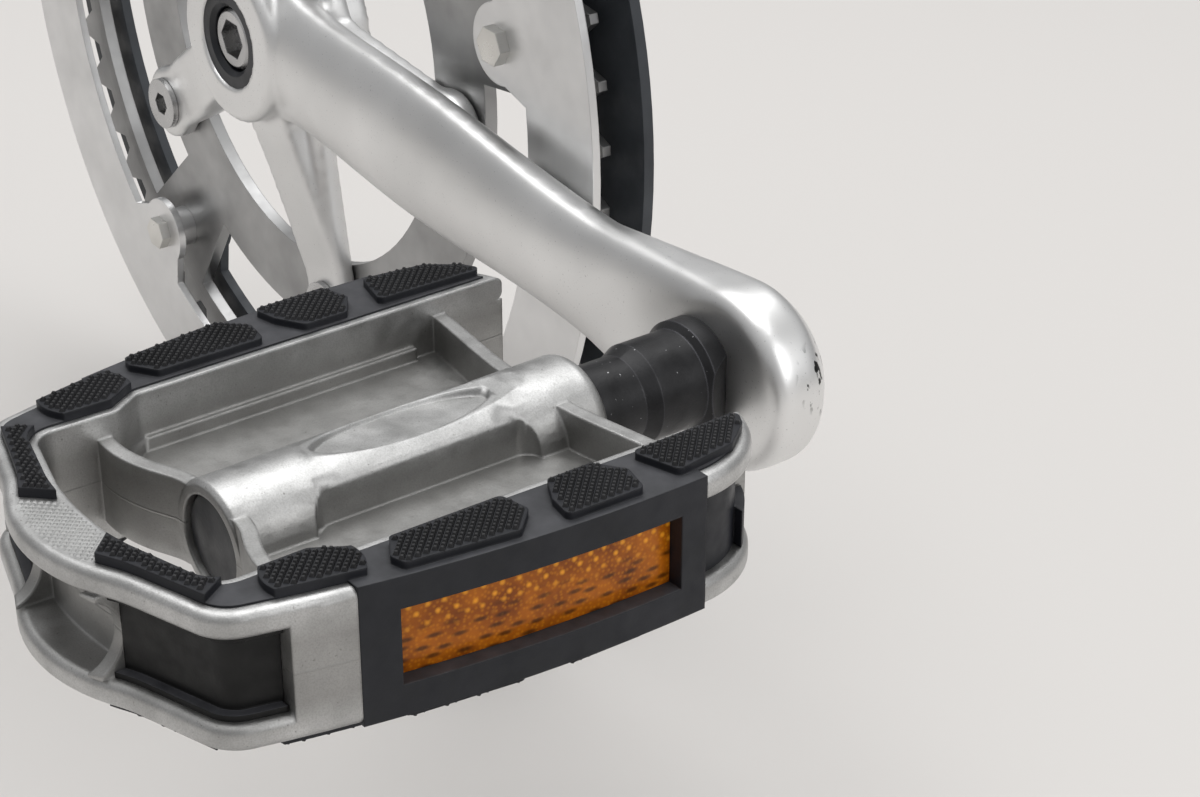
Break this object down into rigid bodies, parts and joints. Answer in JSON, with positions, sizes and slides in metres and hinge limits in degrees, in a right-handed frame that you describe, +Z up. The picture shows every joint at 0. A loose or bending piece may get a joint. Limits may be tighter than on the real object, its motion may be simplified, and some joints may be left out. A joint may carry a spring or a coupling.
{
  "type": "bicycle crankset with platform pedal",
  "caption": "Drive-side bicycle crank with spider, toothed chainring between a silver and a dark guard ring, and a rubber-tread platform pedal that spins on its spindle.",
  "frame": {"origin": "on the bottom bracket axis, at the inboard mouth of the crank's square taper socket", "axes": "+X forward to the pedal, which stands a little below level; +Y inboard along the bottom bracket axis; +Z up"},
  "size_m": [0.3354, 0.1635, 0.238],
  "materials": {
    "crank_alloy": "satin polish",
    "pedal_alloy": "cast, satin",
    "ring_alloy": "satin",
    "guard_alloy": "satin anodised",
    "guard_plastic": "matt",
    "spindle_steel": "blackened, satin",
    "bolt_steel": "satin",
    "zinc_steel": "zinc plated",
    "tread_rubber": "matt",
    "amber_plastic": "gloss, prismatic",
    "black_plastic": "satin"
  },
  "bodies": {
    "crank": {"crank_arm": "crank_alloy", "crank_bolt": "bolt_steel", "extractor_ring": "black_plastic", "chainring": "ring_alloy", "outer_guard": "guard_alloy", "inner_guard": "guard_plastic", "ring_bolt_1": "bolt_steel", "ring_nut_1": "bolt_steel", "guard_screw_1": "zinc_steel", "guard_nut_1": "zinc_steel", "ring_bolt_2": "bolt_steel", "ring_nut_2": "bolt_steel", "guard_screw_2": "zinc_steel", "guard_nut_2": "zinc_steel", "ring_bolt_3": "bolt_steel", "ring_nut_3": "bolt_steel", "guard_screw_3": "zinc_steel", "guard_nut_3": "zinc_steel", "ring_bolt_4": "bolt_steel", "ring_nut_4": "bolt_steel", "guard_screw_4": "zinc_steel", "guard_nut_4": "zinc_steel", "ring_bolt_5": "bolt_steel", "ring_nut_5": "bolt_steel", "guard_screw_5": "zinc_steel", "guard_nut_5": "zinc_steel", "pedal_spindle": "spindle_steel"},
    "pedal": {"pedal_body": "pedal_alloy", "front_tread": "tread_rubber", "rear_tread": "tread_rubber", "front_lens": "amber_plastic", "rear_lens": "amber_plastic", "dust_cap": "black_plastic"}
  },
  "joints": [
    {"name": "pedal_spin", "type": "hinge", "parent": "crank", "child": "pedal", "pos_m": [0.16948, -0.091, -0.01334], "axis": [0, -1, 0], "continuous": true}
  ]
}
